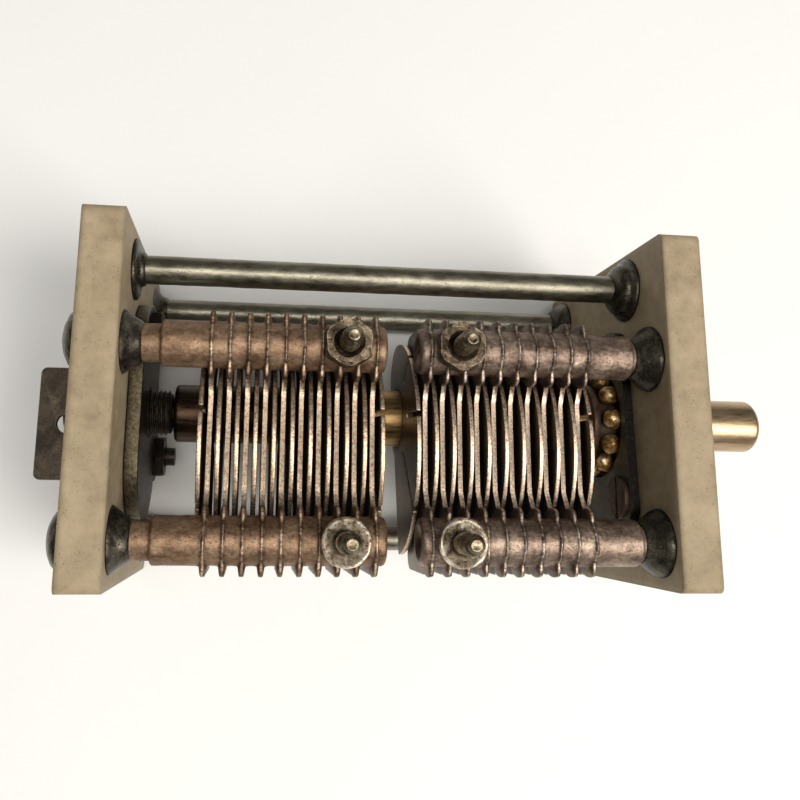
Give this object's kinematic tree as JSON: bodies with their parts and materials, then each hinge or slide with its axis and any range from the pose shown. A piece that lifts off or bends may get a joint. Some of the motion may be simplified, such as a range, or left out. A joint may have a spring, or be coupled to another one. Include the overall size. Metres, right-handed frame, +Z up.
{
  "type": "variable tuning capacitor",
  "caption": "Split-stator variable air capacitor with ceramic end plates, meshed fixed and moving plates on a ball-bearing shaft, and threaded terminals.",
  "frame": {"origin": "bottom centre of the bounding box, on the surface the end plates stand on", "axes": "+X along the shaft towards the knob end, +Z up, +Y across to the side of the upper tie rod"},
  "size_m": [0.0848, 0.038, 0.0365],
  "materials": {
    "ceramic": "unglazed, slightly soiled ceramic",
    "tie_rod_nickel": "dull pitted nickel plating",
    "solder_grey": "dull grey solder",
    "rod_copper": "tarnished, copper-brown plated brass",
    "rod_silver": "tarnished silver-plated brass",
    "plate_copper": "tarnished plated brass sheet",
    "plate_silver": "tarnished silver-plated brass sheet",
    "shaft_brass": "worn bright brass",
    "brass_parts": "dull brass",
    "ball_steel": "polished steel under yellowed grease",
    "dark_steel": "dark plated steel"
  },
  "bodies": {
    "frame": {"rear_end_plate": "ceramic", "front_end_plate": "ceramic", "tie_rod_upper": "tie_rod_nickel", "tie_rod_far": "tie_rod_nickel", "tie_rod_near": "tie_rod_nickel", "tie_rod_flares": "solder_grey", "tie_rod_caps": "solder_grey", "stator_rod_rear_far": "rod_copper", "stator_rod_rear_near": "rod_copper", "stator_rod_front_far": "rod_silver", "stator_rod_front_near": "rod_silver", "stator_rod_flares": "solder_grey", "stator_rod_caps": "solder_grey", "stator_rear_1": "plate_copper", "stator_rear_2": "plate_copper", "stator_rear_3": "plate_copper", "stator_rear_4": "plate_copper", "stator_rear_5": "plate_copper", "stator_rear_6": "plate_copper", "stator_rear_7": "plate_copper", "stator_rear_8": "plate_copper", "stator_rear_9": "plate_copper", "stator_rear_10": "plate_copper", "stator_front_1": "plate_silver", "stator_front_2": "plate_silver", "stator_front_3": "plate_silver", "stator_front_4": "plate_silver", "stator_front_5": "plate_silver", "stator_front_6": "plate_silver", "stator_front_7": "plate_silver", "stator_front_8": "plate_silver", "stator_front_9": "plate_silver", "stator_front_10": "plate_silver", "rear_bearing_plate": "dark_steel", "rear_bearing_screws": "dark_steel", "rear_bearing_nuts": "dark_steel", "adjusting_screw": "dark_steel", "adjusting_lock_nut": "brass_parts", "rear_lug": "dark_steel", "front_bearing_plate": "brass_parts", "front_bearing_screws": "dark_steel", "terminal_studs": "brass_parts", "terminal_nuts": "dark_steel", "terminal_washers": "dark_steel"},
    "rotor": {"shaft": "shaft_brass", "bearing_cone": "brass_parts", "thrust_ball": "ball_steel", "rotor_end_plate_1": "plate_copper", "rotor_end_plate_2": "plate_copper", "rotor_end_plate_3": "plate_silver", "rotor_end_plate_4": "plate_silver", "rotor_plates_rear": "plate_copper", "rotor_plates_front": "plate_silver"},
    "ball_ring": {"bearing_balls": "ball_steel"}
  },
  "joints": [
    {"name": "rotor_turn", "type": "hinge", "parent": "frame", "child": "rotor", "pos_m": [-0.0048, -0.0003, 0.0165], "axis": [1, 0, 0], "range_deg": [0, 180]},
    {"name": "ball_orbit", "type": "hinge", "parent": "frame", "child": "ball_ring", "pos_m": [0.0222, -0.0003, 0.0165], "axis": [1, 0, 0], "range_deg": [0, 70.02]}
  ],
  "couplings": [
    {"joint": "ball_orbit", "follows": "rotor_turn", "ratio": 0.389}
  ]
}
